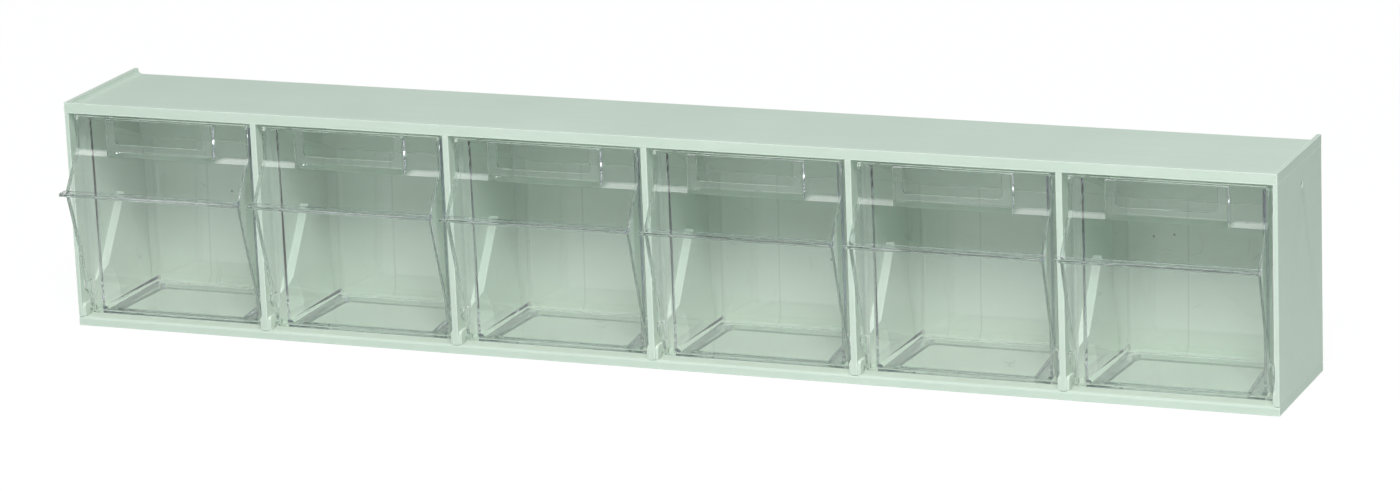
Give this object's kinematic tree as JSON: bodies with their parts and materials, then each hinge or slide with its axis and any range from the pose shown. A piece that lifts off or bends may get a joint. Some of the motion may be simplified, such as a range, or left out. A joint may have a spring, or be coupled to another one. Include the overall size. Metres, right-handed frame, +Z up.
{
  "type": "parts bin cabinet",
  "caption": "Wide, low bench cabinet of clear tilt-out bins for small parts, each with a V-shaped front, a pull lip and a label pocket.",
  "frame": {"origin": "bottom centre of the closed cabinet, bin lips included", "axes": "+X to the viewer's right along the width, -Y out of the front, +Z up"},
  "size_m": [0.6, 0.091, 0.111],
  "materials": {
    "shell": "fine satin moulding",
    "clear": "polished clear moulding with a faint green tint"
  },
  "bodies": {
    "housing": {"top_panel": "shell", "bottom_panel": "shell", "back_panel": "shell", "left_end_panel": "shell", "right_end_panel": "shell", "divider_1": "shell", "divider_2": "shell", "divider_3": "shell", "divider_4": "shell", "divider_5": "shell"},
    "bin_1": {"bin_1": "clear"},
    "bin_2": {"bin_2": "clear"},
    "bin_3": {"bin_3": "clear"},
    "bin_4": {"bin_4": "clear"},
    "bin_5": {"bin_5": "clear"},
    "bin_6": {"bin_6": "clear"}
  },
  "joints": [
    {"name": "bin_1_tilt", "type": "hinge", "parent": "housing", "child": "bin_1", "pos_m": [-0.24946, -0.0195, 0.0071], "axis": [1, 0, 0], "range_deg": [0, 45]},
    {"name": "bin_2_tilt", "type": "hinge", "parent": "housing", "child": "bin_2", "pos_m": [-0.14968, -0.0195, 0.0071], "axis": [1, 0, 0], "range_deg": [0, 45]},
    {"name": "bin_3_tilt", "type": "hinge", "parent": "housing", "child": "bin_3", "pos_m": [-0.04989, -0.0195, 0.0071], "axis": [1, 0, 0], "range_deg": [0, 45]},
    {"name": "bin_4_tilt", "type": "hinge", "parent": "housing", "child": "bin_4", "pos_m": [0.04989, -0.0195, 0.0071], "axis": [1, 0, 0], "range_deg": [0, 45]},
    {"name": "bin_5_tilt", "type": "hinge", "parent": "housing", "child": "bin_5", "pos_m": [0.14968, -0.0195, 0.0071], "axis": [1, 0, 0], "range_deg": [0, 45]},
    {"name": "bin_6_tilt", "type": "hinge", "parent": "housing", "child": "bin_6", "pos_m": [0.24946, -0.0195, 0.0071], "axis": [1, 0, 0], "range_deg": [0, 45]}
  ]
}
